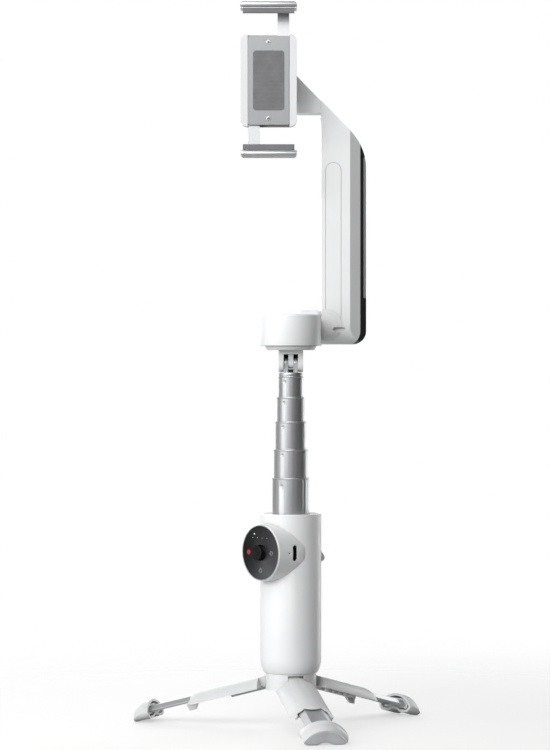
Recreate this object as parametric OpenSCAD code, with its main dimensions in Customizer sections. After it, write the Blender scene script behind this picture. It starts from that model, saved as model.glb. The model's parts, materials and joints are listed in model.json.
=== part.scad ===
// Hand-held gimbal stabiliser for a phone, with a telescopic rod and a folding tripod.
// Millimetres. +Z runs up the handle and the pan axis, the phone clamp faces -Y, and the
// origin is the mouth of the tripod socket in the underside of the hub.
// It is drawn standing on its splayed legs, rod half out, arm up, clamp open for a phone.

/* [Handle] */
// Outer radius of the grip
grip_r = 17.9; // [17.5:0.1:19]
// Height of the grip's lower rim above the socket's mouth
grip_bottom = 10; // [9.8:0.1:11]
// Height of the grip's flat top
grip_top = 103.2; // [101:0.1:106]
// Wall of the handle's shell
grip_wall = 1.6; // [1.2:0.1:1.8]
// Direction that the control pod faces, in degrees from +X
pod_az = -138.3; // [-145:0.1:-130]
// Height of the control pod's centre
pod_z = 81; // [79:0.1:82]
// Radius of the pod at its face
pod_r = 16.5; // [16.3:0.1:17]
// Distance of the pod's face from the handle's axis
pod_reach = 23.9; // [23.9:0.1:25]

/* [Rod] */
// Outer radius of the widest rod tube
rod_r = 10.8; // [10.6:0.1:11]
// Step in radius from one rod tube to the next
rod_step = 0.9; // [0.9:0.05:1]
// Length of each rod tube
rod_len = 50; // [48:1:51]
// Length of each tube that shows above the one below, widest first
rod_show = [21.1, 16.7, 16.4, 14.3, 12.3]; // [10:0.1:43]

/* [Tripod] */
// Direction of the first leg, in degrees from +X
leg_az = -78.3; // [-90:0.1:-70]
// Angle that each leg swings out from hanging straight down
splay = 75.3; // [70:0.1:78]
// Distance of each leg's pin from the handle's axis
pivot_r = 12; // [11.8:0.1:12]
// Height of the leg pins above the socket's mouth
pivot_z = 5.7; // [5.6:0.1:5.9]
// Distance from the pin to the outer end of the leg's shell
shell_end = 51.2; // [48:0.1:51.5]
// Distance from the pin to the sole of the foot
sole_end = 86; // [85.5:0.1:87]

/* [Head] */
// Height of the finger hinge's pin
hinge_z = 191.4; // [191.2:0.1:191.6]
// Radius of the pan motor's housing
pan_r = 17.9; // [17.5:0.1:18]
// Distance of the arm's folding axis behind the pan axis
fold_y = 31; // [31:0.1:32]
// Height of the arm's folding axis
fold_z = 213.4; // [213:0.1:214]
// Distance of the roll axis from the pan axis, to the left
head_left = 13; // [13:0.1:13.5]
// Height of the roll and tilt axes
head_z = 356.5; // [355:0.1:358]
// Left and right sides of the upright arm
arm_x = [18.3, 45.2]; // [18:0.1:46]

/* [Clamp] */
// Phone width that the clamp is open for
phone_w = 78; // [74:0.1:80]
// Width of the jaws
jaw_w = 32.8; // [31:0.1:34]
// Height of a jaw outside its pad's face
jaw_h = 6; // [5.5:0.1:6.5]

/* [Fits] */
// Radial clearance of turning and sliding fits
run = 0.05; // [0.03:0.01:0.08]
// Clearance where a fixed piece is let into another
let_in = 0.02; // [0.01:0.01:0.05]

/* [Hidden] */
$fn = 72;

// Tripod
hub_r = 14.9;
hub_top = 13;
carrier_r = grip_r - grip_wall - 0.1;
carrier_h = 9;
socket_r = 2.6;
socket_out = 5;
socket_len = 9.5;
slot_in = 8.4;
slot_top = pivot_z + 3.05;
slot_w = 9.3;
knuckle_w = 9;
knuckle_r = 2.95;
leg_pin_r = 1.25;
leg_pin_len = 13.2;
skin_r = 15;
shell_top = 6;
shell_chord = 8.2;
shell_edge = [5.4, 1.5];
rail_start = 34;
rail_end = 80;
foot_r = grip_r - 0.9;
foot_top = 76;
foot_floor = 2.9;
foot_in = 6.1;
foot_half = 13.7;
foot_round = 4.5;
foot_edge = [5.9, 2.2];
foot_wall = 1.5;
pad_r = 13.8;
notch_r = 7.6;

// Handle
rim_r = 15.7;
rim_h = 8;
lip_h = 2.5;
sleeve_r = rod_r + 1.4;
sleeve_z = 50;
cap_h = 2;
trigger_az = pod_az + 180;
trigger_pin = [15, 88];
trigger_w = 10;

// Control pod, measured out along its own axis from the handle's axis
disc_r = 15.5;
disc_back = pod_reach - 1.7;
disc_front = pod_reach - 0.2;
stick_p = pod_reach - 4.4;
stick_hole = 4.7;
dome_r = [4.4, 5];
dome_from = 2.05;
stick_cap = [5.8, 1.9];
stick_cap_r = 4.25;
plate_back = pod_reach - 5.5;
plate_front = pod_reach - 3.3;
board_p = pod_reach - 8.7;
board_h = 1.2;
wheel_at = [14, -12.5];
wheel_r = 5.4;
wheel_h = 4;
usb_p = 12;
lamps = [[-5.6, 10.8, 0.5], [-7, 8.6, 0.35], [-2.9, 8.6, 0.35], [1.3, 8.6, 0.35], [5.4, 8.6, 0.35]];

// Rod
tube_count = len(rod_show);
tube_gap = 0.08;
lip = [0.25, 1.2];
function tube_r(i) = rod_r - rod_step * (i - 1);
function sum_to(v, i) = i < 1 ? 0 : v[i - 1] + sum_to(v, i - 1);
function tube_top(i) = grip_top + sum_to(rod_show, i);
rod_top = tube_top(tube_count);

// Finger hinge
finger_r = 5;
tongue_r = 3.1;
cheek_r = 3.2;
web_half = 1.8;
finger_half = 7.2;
knuckle_x = [1.55, 4.2];
tongue_half = 1.5;
prong_in = 4.25;
hinge_pin_r = 1.5;

// Pan motor
base_z = hinge_z + 7.9;
base_r = [13.7, 15.25];
pan_z = base_z + 2.4;
pan_h = 18.5;
post_r = 4;
post_h = 16;

// Fold joint and arm
barrel_r = 10.3;
barrel_x = [4, 18.1];
fold_shaft_r = 4;
arm_y = [20.5, 41.5];
arm_split = 31;
arm_bottom = fold_z - barrel_r - 0.2;
arm_wall = 1.7;
arm_top = 308;
arm_corner = 8;
cell_r = 9.1;
cell_len = 65;
cell_z = 236;
link_y = 24.9;
link_round = 16.5;
inlay_x = 41.6;
trim_x = arm_x.y - 1.6;
trim_z = [230.5, 314.5];
corner_in = 9.1;
latch_r = 9.3;
latch_in = 2.8;
latch_steps = [[0, 0.55], [2.4, 0.9]];

// Roll and tilt
head_x = -head_left;
tilt_y = 9;
tilt_r = 12.2;
tilt_x = [-23, -3.8];
face_y = -8;
rotor_y = [21.6, 24.7];
roll_back = 43.5;
side_x = [-3.6, 1.4];

// Clamp
clamp_t = 5.9;
clamp_half = 27;
clamp_back = face_y - 0.05;
channel_floor = 1.3;
rack_front = -4.4;
rack_t = 3;
gear_post_r = 1.3;
gear_teeth = 14;
gear_module = 0.55;
gear_pitch = gear_teeth * gear_module / 2;
jaw_front = -25.2;
pad_t = 2.2;

function numbered(name, count) = [for (i = [1:count]) str(name, "_", i)];

// ---- Shapes used more than once ----

module ring(outer, inner, h) {
    difference() {
        cylinder(r = outer, h = h);
        translate([0, 0, -1]) cylinder(r = inner, h = h + 2);
    }
}

// A disc whose upper edge has a round of radius e
module soft_disc(r, h, e) {
    rotate_extrude() {
        square([r - e, h]);
        square([r, h - e]);
        translate([r - e, h - e]) circle(r = e);
    }
}

// A slot outline with round ends, its long side along Y
module stadium(w, h) {
    square([w, h - w], center = true);
    for (s = [-1, 1]) translate([0, s * (h - w) / 2]) circle(d = w);
}

module round_rect(w, h, r) {
    square([w - 2 * r, h], center = true);
    square([w, h - 2 * r], center = true);
    for (x = [-1, 1], y = [-1, 1]) translate([x * (w / 2 - r), y * (h / 2 - r)]) circle(r = r);
}

// A cylinder that lies along X from one x to another
module along_x(x0, x1, r) {
    translate([x0, 0, 0]) rotate([0, 90, 0]) cylinder(r = r, h = x1 - x0);
}

// A cylinder that lies along Y from one y to another
module along_y(y0, y1, r) {
    translate([0, y0, 0]) rotate([-90, 0, 0]) cylinder(r = r, h = y1 - y0);
}

// An outline drawn in X and Z, swept from one y to another
module slab_y(y0, y1) {
    translate([0, y1, 0]) rotate([90, 0, 0]) linear_extrude(y1 - y0) children();
}

// An outline drawn in Y and Z, swept from one x to another
module slab_x(x0, x1) {
    translate([x0, 0, 0]) rotate([90, 0, 90]) linear_extrude(x1 - x0) children();
}

// ---- Tripod ----

// A leg's own frame: +X outward from the handle's axis, -Z down the leg when it hangs
module in_leg(i) {
    rotate([0, 0, leg_az + 120 * (i - 1)])
        translate([pivot_r, 0, pivot_z])
            rotate([0, -splay, 0])
                translate([-pivot_r, 0, 0])
                    children();
}

// A solid of revolution round the handle's axis whose far end has a long round
module rounded_end(r, from, end, edge) {
    arc = (edge.x * edge.x + edge.y * edge.y) / (2 * edge.y);
    rotate_extrude() {
        translate([0, edge.x - end]) square([r, end - edge.x - from]);
        intersection() {
            translate([0, -end]) square([r, edge.x + 1]);
            union() {
                translate([r - arc, edge.x - end]) circle(r = arc);
                translate([0, -end]) square([r - edge.y - arc / 2, edge.x + 1]);
            }
        }
    }
}

module tripod_hub() color("whitesmoke") difference() {
    union() {
        cylinder(r = hub_r, h = hub_top);
        translate([0, 0, hub_top]) cylinder(r = carrier_r, h = carrier_h);
    }
    translate([0, 0, -1]) cylinder(r = socket_out + let_in, h = socket_len + 1);
    translate([0, 0, hub_top + 3]) cylinder(r = carrier_r - 2.5, h = carrier_h);
    for (i = [0:2]) rotate([0, 0, leg_az + 120 * i]) {
        translate([slot_in, -slot_w / 2, -1]) cube([10, slot_w, slot_top + 1]);
        translate([pivot_r, 0, pivot_z]) rotate([90, 0, 0])
            cylinder(r = leg_pin_r + let_in, h = leg_pin_len + 0.2, center = true);
    }
}

module tripod_socket() color("silver") ring(socket_out, socket_r, socket_len);

module leg_pins() color("silver")
    for (i = [0:2]) rotate([0, 0, leg_az + 120 * i]) translate([pivot_r, 0, pivot_z])
        rotate([90, 0, 0]) cylinder(r = leg_pin_r, h = leg_pin_len, center = true);

// Half outline of the rail's pocket, from the lip inward, as distance out and half width
rail_pocket = [[6, 7], [9.35, 7], [9.35, 8.35], [10.75, 8.35], [13.28, 5.1]];
// The same at the shell's end, where it stands clear of the rail
rail_mouth = [[6, 7.9], [9.2, 9], [11.1, 9], [13.8, 4.7]];

module mirrored(half) {
    polygon(concat(half, [for (k = [len(half) - 1:-1:0]) [half[k].x, -half[k].y]]));
}

// The catch that keeps the folded legs together, on the leading edge of each shell
module leg_hook() translate([0, 0, -shell_end]) intersection() {
    linear_extrude(9) polygon([[9, 12], [9, 9.6], [5.1, 8.6], [5.1, 10.4]]);
    translate([0, 15, 0]) rotate([90, 0, 0]) linear_extrude(10)
        polygon([[9, 8.2], [7.6, 6.2], [5.1, 4.1], [5.1, 0.3], [9, 0]]);
}

// The toothed strip on the trailing edge
module leg_teeth() {
    teeth = 5;
    pitch = 4.6;
    difference() {
        translate([6.6, -11, -30.4]) cube([2.4, 1.8, 22.4]);
        for (k = [0:teeth - 2]) translate([5, -12, -13 - pitch * k]) cube([3, 2, pitch - 1.8]);
    }
}

module leg_shell(i) color("whitesmoke") in_leg(i) {
    difference() {
        union() {
            intersection() {
                rounded_end(skin_r, -4, shell_end, shell_edge);
                union() {
                    translate([shell_chord, -skin_r, -shell_end])
                        cube([skin_r, 2 * skin_r, shell_end - shell_top]);
                    translate([pivot_r - knuckle_r, -knuckle_w / 2, -shell_top - 1])
                        cube([2 * knuckle_r, knuckle_w, shell_top + 1]);
                    translate([pivot_r, 0, 0]) along_y(-knuckle_w / 2, knuckle_w / 2, knuckle_r);
                }
            }
            leg_hook();
            leg_teeth();
        }
        translate([0, 0, -shell_end - 1]) linear_extrude(shell_end - shell_top - 0.6)
            mirrored(rail_pocket);
        translate([0, 0, -shell_end - 1]) linear_extrude(3.5) mirrored(rail_mouth);
        translate([pivot_r, 0, 0]) along_y(-knuckle_w, knuckle_w, leg_pin_r + run);
    }
}

// Folded steel channel with three flats
module leg_rail(i) color("lightgray") in_leg(i)
    translate([0, 0, -rail_end]) linear_extrude(rail_end - rail_start)
        polygon([[9.5, -7.6], [10.7, -8.2], [13.2, -5], [13.2, 5], [10.7, 8.2], [9.5, 7.6],
                 [12, 4.5], [12, -4.5]]);

// The foot's section, with its inner side towards -X, shrunk all round by d
module foot_outline(d) difference() {
    intersection() {
        circle(r = foot_r - d);
        union() {
            translate([foot_in + foot_round, d - foot_half]) square([foot_r, 2 * (foot_half - d)]);
            translate([foot_in + d, foot_round - foot_half])
                square([foot_r, 2 * (foot_half - foot_round)]);
            for (s = [-1, 1]) translate([foot_in + foot_round, s * (foot_half - foot_round)])
                circle(r = foot_round - d);
        }
    }
    circle(r = notch_r + d);
}

module foot(i) color("whitesmoke") in_leg(i) difference() {
    intersection() {
        rounded_end(foot_r, foot_top, sole_end, foot_edge);
        translate([0, 0, -sole_end]) linear_extrude(sole_end) foot_outline(0);
    }
    // the hollow side, with a boss for the rail and two ribs left standing
    difference() {
        translate([0, 0, foot_floor - sole_end]) linear_extrude(sole_end) foot_outline(foot_wall);
        translate([8.4, -9.6, -sole_end]) cube([6, 19.2, sole_end - foot_top - 1]);
        for (s = [-1, 1]) rotate([0, 0, s * 46]) translate([0, -0.6, -sole_end])
            cube([foot_r, 1.2, sole_end - foot_top - 3]);
    }
    translate([0, 0, -rail_end]) linear_extrude(rail_end)
        polygon([[9.4, -7.65], [10.75, -8.3], [13.25, -5.05], [13.25, 5.05], [10.75, 8.3],
                 [9.4, 7.65], [11.95, 4.5], [11.95, -4.5]]);
    translate([0, 0, -sole_end - 1]) linear_extrude(2.2) sole_outline(0);
}

// The grey pad's outline in the sole, shrunk all round by d
module sole_outline(d) intersection() {
    circle(r = pad_r - d);
    foot_outline(0.6 + d);
}

module foot_pad(i) color("gray") in_leg(i)
    translate([0, 0, -sole_end - 0.1]) linear_extrude(1.3) sole_outline(0.1);

// ---- Handle ----

module grip_outline() {
    arc = (rim_h * rim_h + (grip_r - rim_r) * (grip_r - rim_r)) / (2 * (grip_r - rim_r));
    knee = grip_bottom + rim_h;
    edge = 0.5;
    translate([0, knee]) square([grip_r - edge, grip_top - knee]);
    translate([0, knee]) square([grip_r, grip_top - knee - edge]);
    translate([grip_r - edge, grip_top - edge]) circle(r = edge);
    intersection() {
        translate([0, grip_bottom]) square([grip_r, rim_h]);
        translate([grip_r - arc, knee]) circle(r = arc);
    }
}

module handle_shell() color("whitesmoke") difference() {
    union() {
        rotate_extrude() difference() {
            grip_outline();
            square([hub_r + 0.07, grip_top]);
            translate([0, grip_bottom + lip_h]) square([grip_r - grip_wall, grip_top]);
        }
        // lugs that hold the trigger's stub axles
        rotate([0, 0, trigger_az]) for (s = [-1, 1])
            translate([13.2, s * 6.4 - 0.9, trigger_pin.y - 2.2]) cube([3, 1.8, 4.4]);
    }
    rotate([0, 0, trigger_az]) {
        translate([13, -trigger_w / 2 - 0.2, 69.6]) cube([8, trigger_w + 0.4, 20.4]);
        translate([trigger_pin.x, 0, trigger_pin.y]) along_y(-7.2, 7.2, 1.1 + run);
    }
    in_pod() {
        translate([8, 0, 0]) along_x(0, 16, 14);
        usb_space(0.1);
    }
}

module handle_cap() color("gainsboro") translate([0, 0, grip_top - cap_h - 0.3])
    ring(grip_r - grip_wall - 0.1, rod_r + 0.3, cap_h);

module rod_sleeve() color("dimgray") difference() {
    union() {
        translate([0, 0, sleeve_z]) cylinder(r = sleeve_r, h = grip_top - cap_h - 0.4 - sleeve_z);
        translate([0, 0, sleeve_z]) cylinder(r = carrier_r, h = 2);
        translate([0, 0, grip_top - cap_h - 1.9]) cylinder(r = carrier_r - 0.2, h = 1.5);
    }
    translate([0, 0, sleeve_z - 1]) cylinder(r = rod_r + tube_gap, h = grip_top);
    in_pod() usb_space(0.3);
}

// ---- Control pod ----

// The pod's own frame: +X out along its axis, +Y to the right as the user faces it
module in_pod() translate([0, 0, pod_z]) rotate([0, 0, pod_az]) children();

module usb_space(d) {
    translate([usb_p, 9.6, 0]) rotate([-90, 0, 0]) linear_extrude(12)
        stadium(3.2 + 2 * d, 9.1 + 2 * d);
}

// The pod's turned profile, drawn as radius against distance out
module pod_profile() {
    edge = 0.8;
    polygon([[0, 5], [17.7, 5], [17.4, 12], [pod_r, pod_reach - edge], [pod_r - edge, pod_reach],
             [0, pod_reach]]);
    translate([pod_r - edge, pod_reach - edge]) circle(r = edge);
}

module control_pod() color("whitesmoke") in_pod() difference() {
    union() {
        difference() {
            rotate([0, 90, 0]) rotate_extrude() pod_profile();
            translate([0, 0, -pod_z]) cylinder(r = grip_r + let_in, h = grip_top + 10);
            along_x(8, plate_back, 14.6);
            along_x(plate_front, pod_reach + 1, disc_r + 0.1);
            along_x(pod_reach - 1.5, pod_reach + 1, 16.1 + let_in);
        }
        // standoffs that carry the circuit board
        for (a = [40, 140, 220, 320]) rotate([a, 0, 0])
            translate([0, 12, 0]) along_x(board_p + board_h, plate_back + 0.5, 1.1);
    }
    along_x(plate_back - 1, plate_front + 1, 5.4);
    translate([stick_p, 0, 0]) cylinder(r = 0.6 + run, h = 14, center = true);
    for (l = lamps) translate([0, l.x, l.y]) along_x(plate_back - 1, plate_front + 1, l.z + 0.1);
    translate([wheel_at.x - 0.25, -20, -wheel_r - 0.25])
        cube([wheel_h + 0.5, 20 + wheel_at.y, 2 * wheel_r + 0.5]);
    translate([0, wheel_at.y, 0]) along_x(plate_back - 1, plate_back + 1.2, 1 + run);
    usb_space(0.1);
    translate([16.2, 14, 0]) along_y(0, 4, 0.5);
}

module pod_rim() color("lightgray") in_pod() translate([pod_reach - 1.5, 0, 0])
    rotate([0, 90, 0]) ring(16.1, disc_r + 0.1, 1.6);

module usb_port() color("silver") in_pod() difference() {
    translate([usb_p, 10, 0]) rotate([-90, 0, 0]) linear_extrude(6.6) stadium(3.2, 9.1);
    difference() {
        translate([usb_p, 10.8, 0]) rotate([-90, 0, 0]) linear_extrude(8) stadium(2.6, 8.5);
        translate([usb_p - 0.35, 9, -3.3]) cube([0.7, 6, 6.6]);
    }
}

module status_lamp() color("white") in_pod()
    for (l = lamps) translate([0, l.x, l.y]) along_x(board_p + board_h, disc_front, l.z);

module circuit_board() color("darkgreen") in_pod() difference() {
    along_x(board_p, board_p + board_h, 13.7);
    translate([board_p - 1, -20, -wheel_r - 1])
        cube([4, 20.6 + wheel_at.y + wheel_r, 2 * wheel_r + 2]);
}

module control_disc() color("black") in_pod() difference() {
    translate([disc_back, 0, 0]) rotate([0, 90, 0])
        soft_disc(disc_r, disc_front - disc_back, 0.3);
    along_x(0, 2 * pod_reach, stick_hole);
    for (l = lamps) translate([0, l.x, l.y]) along_x(0, 2 * pod_reach, l.z + 0.1);
}

// Cross-shaft ring that lets the stick tip both ways
module joystick_yoke() color("gray") in_pod() translate([stick_p, 0, 0]) difference() {
    union() {
        rotate([0, 90, 0]) translate([0, 0, -0.9]) cylinder(r = 4.7, h = 1.8);
        cylinder(r = 0.6, h = 13.4, center = true);
    }
    rotate([0, 90, 0]) cylinder(r = 3.4, h = 4, center = true);
    rotate([90, 0, 0]) cylinder(r = 0.5 + run, h = 12, center = true);
}

module joystick() color("black") in_pod() translate([stick_p, 0, 0]) {
    rotate([90, 0, 0]) cylinder(r = 0.5, h = 8.8, center = true);
    rotate([0, 90, 0]) rotate_extrude() difference() {
        union() {
            polygon([[0, -2.6], [1.4, -2.6], [2.4, -1], [2.4, 1], [1.4, 2.6], [1.4, 6], [0, 6]]);
            translate([0, stick_cap.x]) square([stick_cap_r - 0.7, stick_cap.y]);
            translate([0, stick_cap.x]) square([stick_cap_r, stick_cap.y - 0.7]);
            translate([stick_cap_r - 0.7, stick_cap.x + stick_cap.y - 0.7]) circle(r = 0.7);
            intersection() {
                translate([0, dome_from]) square(dome_r.y);
                difference() {
                    circle(r = dome_r.y);
                    circle(r = dome_r.x);
                }
            }
        }
        // shallow dish in the thumb's face
        polygon([[-1, stick_cap.x + stick_cap.y - 0.7], [0, stick_cap.x + stick_cap.y - 0.7],
                 [3.2, stick_cap.x + stick_cap.y + 0.01], [-1, stick_cap.x + stick_cap.y + 0.01]]);
    }
}

module zoom_wheel() color("dimgray") in_pod() translate([0, wheel_at.y, 0]) difference() {
    union() {
        along_x(wheel_at.x, wheel_at.x + wheel_h, wheel_r);
        along_x(wheel_at.x, plate_back + 1, 1);
    }
    for (a = [0:20:340]) rotate([a, 0, 0]) translate([0, wheel_r, 0])
        along_x(wheel_at.x - 1, wheel_at.x + wheel_h + 0.01, 0.35);
}

module trigger() color("whitesmoke") rotate([0, 0, trigger_az]) {
    slab_y(-trigger_w / 2, trigger_w / 2)
        polygon([[14.3, 70], [17.6, 70], [18.5, 72.6], [19.9, 74.2], [21.9, 75.2], [22.6, 76.4],
                 [22.2, 77.7], [19.6, 80.6], [18, 84], [16.9, 87.6], [16.3, 89.4], [14.3, 89.4]]);
    translate([trigger_pin.x, 0, trigger_pin.y]) along_y(-7.1, 7.1, 1.1);
}

// ---- Telescopic rod ----

module rod_tube(i) color("silver") difference() {
    r = tube_r(i);
    wall = rod_step - tube_gap;
    dimple_r = i == 1 ? 1.75 : 1.15;
    dimple_z = tube_top(i) - (i == 1 ? 5.2 : 3.4);
    depth = 0.35;
    ball = (dimple_r * dimple_r + depth * depth) / (2 * depth);
    union() {
        translate([0, 0, tube_top(i) - rod_len]) cylinder(r = r, h = rod_len);
        translate([0, 0, tube_top(i) - lip.y]) rotate_extrude() {
            square([r, lip.y]);
            translate([r - lip.y / 2 + lip.x, lip.y / 2]) circle(r = lip.y / 2);
        }
    }
    translate([0, 0, tube_top(i) - rod_len - 1]) cylinder(r = r - wall, h = rod_len + 2);
    // detent dimple under the lip, and the guide groove
    rotate([0, 0, -121]) translate([r - depth + ball, 0, dimple_z]) sphere(r = ball);
    rotate([0, 0, -41]) translate([r - 0.45, -0.85, 0]) cube([1, 1.7, tube_top(i) - lip.y]);
}

module rod_knuckle() color("silver") difference() {
    end_r = tube_r(tube_count);
    union() {
        translate([0, 0, rod_top - 10]) cylinder(r = end_r - rod_step + tube_gap - let_in, h = 10);
        translate([0, 0, rod_top]) cylinder(r = end_r - 0.1, h = 2);
        for (s = [-1, 1]) translate([s < 0 ? -knuckle_x.y : knuckle_x.x, 0, 0]) {
            translate([0, -cheek_r, rod_top + 0.5])
                cube([knuckle_x.y - knuckle_x.x, 2 * cheek_r, hinge_z - rod_top - 0.5]);
            translate([0, 0, hinge_z]) along_x(0, knuckle_x.y - knuckle_x.x, cheek_r);
        }
        // web between the plates, clear of the tongue that turns above it
        translate([-knuckle_x.x - 0.1, -web_half, rod_top + 0.5])
            cube([2 * knuckle_x.x + 0.2, 2 * web_half, hinge_z - tongue_r - 0.75 - rod_top]);
    }
    translate([0, 0, hinge_z]) along_x(-10, 10, hinge_pin_r + run);
    translate([0, 0, rod_top - 12]) cylinder(r = end_r - 2.6, h = 11);
}

// ---- Head: pan motor ----

module prong(x0, x1, r) {
    translate([x0, -r, hinge_z]) cube([x1 - x0, 2 * r, base_z - hinge_z]);
    translate([0, 0, hinge_z]) along_x(x0, x1, r);
}

// Three prongs that hang from the pan base and close round the rod's knuckles
module head_fork() color("whitesmoke") difference() {
    union() {
        prong(-finger_half, -prong_in, finger_r);
        prong(-tongue_half, tongue_half, tongue_r);
        prong(prong_in, finger_half, finger_r);
        translate([-finger_half, -finger_r, hinge_z + 5.4])
            cube([2 * finger_half, 2 * finger_r, base_z - hinge_z - 5.4]);
        // wall behind the knuckles
        translate([-finger_half, cheek_r + 0.2, hinge_z - 1.5])
            cube([2 * finger_half, finger_r - cheek_r - 0.2, base_z - hinge_z + 1.5]);
    }
    translate([0, 0, hinge_z]) along_x(-10, 10, hinge_pin_r + let_in);
    for (s = [-1, 1]) translate([s > 0 ? 6.2 : -8.2, 0, hinge_z]) along_x(0, 2, 2.4 + let_in);
}

module hinge_pin() color("silver") translate([0, 0, hinge_z]) {
    along_x(-6.9, 6.9, hinge_pin_r);
    for (s = [-1, 1]) translate([s > 0 ? 6.2 : -6.9, 0, 0]) along_x(0, 0.7, 2.4);
}

module pan_base() color("whitesmoke") difference() {
    union() {
        translate([0, 0, base_z]) cylinder(r1 = base_r.x, r2 = base_r.y, h = pan_z - base_z - 0.1);
        translate([0, 0, pan_z - 0.1]) cylinder(r = post_r, h = post_h);
        translate([0, 0, pan_z - 0.1]) cylinder(r = base_r.y - 1.5, h = 1.2);
    }
    translate([0, 0, pan_z + 2]) cylinder(r = 2, h = 20);
}

module pan_stator() color("peru") translate([0, 0, pan_z + 1.1]) difference() {
    cylinder(r = 14.6, h = 8);
    translate([0, 0, -1]) cylinder(r = post_r + let_in, h = 12);
    for (a = [0:40:320]) rotate([0, 0, a]) translate([8, -1, -1]) cube([9, 2, 12]);
}

module pan_housing() color("whitesmoke") difference() {
    union() {
        translate([0, 0, pan_z + 0.05]) soft_disc(pan_r, pan_h, 1.2);
        // neck that carries the fold barrel
        translate([barrel_x.x + 1, 10, pan_z + 1.5])
            cube([barrel_x.y - barrel_x.x - 2.2, fold_y - 10, pan_h - 3.5]);
    }
    difference() {
        translate([0, 0, pan_z - 1]) cylinder(r = pan_r - 1.7, h = pan_h - 0.8);
        // boss that turns on the fixed post
        translate([0, 0, pan_z + 10]) cylinder(r = post_r + 2.5, h = pan_h);
    }
    translate([0, 0, pan_z]) cylinder(r = post_r + run, h = post_h);
    translate([0, 0, pan_z]) cylinder(r = base_r.y + 0.4, h = 3);
    translate([0, fold_y, fold_z]) along_x(0, 30, barrel_r);
}

// ---- Fold joint and arm ----

module fold_barrel() color("whitesmoke") translate([0, fold_y, fold_z]) difference() {
    union() {
        translate([barrel_x.x, 0, 0]) rotate([0, 90, 0]) mirror([0, 0, 1])
            translate([0, 0, -(barrel_x.y - barrel_x.x) + 1.4])
                soft_disc(barrel_r, barrel_x.y - barrel_x.x - 1.4, 2.6);
        along_x(barrel_x.y - 1.5, barrel_x.y, barrel_r - 0.9);
    }
    along_x(barrel_x.x + 5, barrel_x.y + 1, fold_shaft_r + run);
}

// Outline of the arm seen from the front: an upright that leans over to the roll motor
module arm_outline(d) {
    left = arm_x.x + d;
    right = arm_x.y - d;
    bottom = arm_bottom + d;
    bend = 30;
    difference() {
        union() {
            translate([left, bottom]) square([right - left - arm_corner, arm_top - bottom + 8]);
            translate([left, bottom + arm_corner]) square([right - left, arm_top - bottom - arm_corner]);
            translate([right - arm_corner, bottom + arm_corner]) circle(r = arm_corner);
            translate([right - bend, arm_top]) circle(r = bend);
            polygon([[left, arm_top], [right - bend + bend * cos(45), arm_top + bend * sin(45)],
                     [head_x + (link_round - d) * cos(45), head_z + (link_round - d) * sin(45)],
                     [head_x, head_z - link_round + 1 + d], [left, head_z - link_round + 1 + d]]);
            translate([head_x, head_z]) circle(r = link_round - d);
        }
        // the open side under the link, with a round inner corner
        difference() {
            translate([left - 80, bottom - 1])
                square([80, head_z - link_round + 1 + d - bottom + 1]);
            difference() {
                translate([left - 6, head_z - link_round + 1 + d - 6]) square([6, 6]);
                translate([left - 6, head_z - link_round + 1 + d - 6]) circle(r = 6);
            }
            translate([head_x, head_z]) circle(r = link_round - d);
        }
    }
}

// The arm's outside: its outline, its chamfered section and its round lower end together
module arm_outside() intersection() {
    slab_y(arm_y.x, arm_y.y) arm_outline(0);
    linear_extrude(2 * head_z) polygon([
        [-60, arm_y.x], [35.4, arm_y.x], [inlay_x, 25.5], [inlay_x, 38.5], [36, arm_y.y],
        [-60, arm_y.y]]);
    slab_x(-60, 60) {
        translate([arm_y.x - 10, fold_z]) square([arm_y.y - arm_y.x + 20, head_z]);
        translate([fold_y, fold_z]) circle(r = barrel_r + 0.2);
    }
}

// The part of the lower right corner that the black band takes
module corner_outline() difference() {
    intersection() {
        translate([arm_x.y - arm_corner, arm_bottom + arm_corner]) circle(r = arm_corner);
        translate([arm_x.y - arm_corner, arm_bottom]) square(arm_corner);
    }
    translate([inlay_x - corner_in, arm_bottom + arm_corner]) circle(r = corner_in);
}

// A finger nick beside the release plate
module nick() translate([28.8, 0, fold_z - 1.6])
    slab_y(arm_y.x - 2, arm_y.x + 1.2) rotate(90) stadium(2.4, 7.2);

module arm_solid() difference() {
    arm_outside();
    slab_y(arm_y.x - 1, arm_y.y + 1) corner_outline();
    nick();
    // room in front of the link for the roll motor's rotor
    translate([arm_x.x - 70, arm_y.x - 1, fold_z]) cube([70, link_y - arm_y.x + 1, 200]);
    // room for the roll motor's core, open to the back
    translate([head_x, 0, head_z]) along_y(link_y + 1.5, arm_y.y + 1, 14.4);
    translate([head_x, 0, head_z]) along_y(0, arm_y.y + 1, 3 + run);
    // room for the battery cell
    translate([arm_split, fold_y, cell_z - 2]) cylinder(r = cell_r + 0.1, h = cell_len + 4);
    translate([20.2, 23.5, cell_z - 1]) cube([17.2, 15, cell_len + 6]);
    // the front panel's recess
    slab_y(arm_y.x - 1, arm_y.x + 0.8) panel_outline(0.15);
}

module panel_outline(d) translate([25.4, 263]) stadium(9.2 + 2 * d, 96 + 2 * d);

module arm_half(front) intersection() {
    arm_solid();
    translate([-80, front ? arm_split - 30 : arm_split, 150]) cube([160, 30, 260]);
}

module arm_front() color("whitesmoke") arm_half(true);

module arm_back() color("whitesmoke") {
    arm_half(false);
    // shaft that turns in the fold barrel, its end against the front half too
    translate([0, fold_y, fold_z]) along_x(barrel_x.x + 6, arm_x.x, fold_shaft_r);
}

module arm_cover() color("white") slab_y(arm_y.x + 0.1, arm_y.x + 0.8) panel_outline(0);

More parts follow.
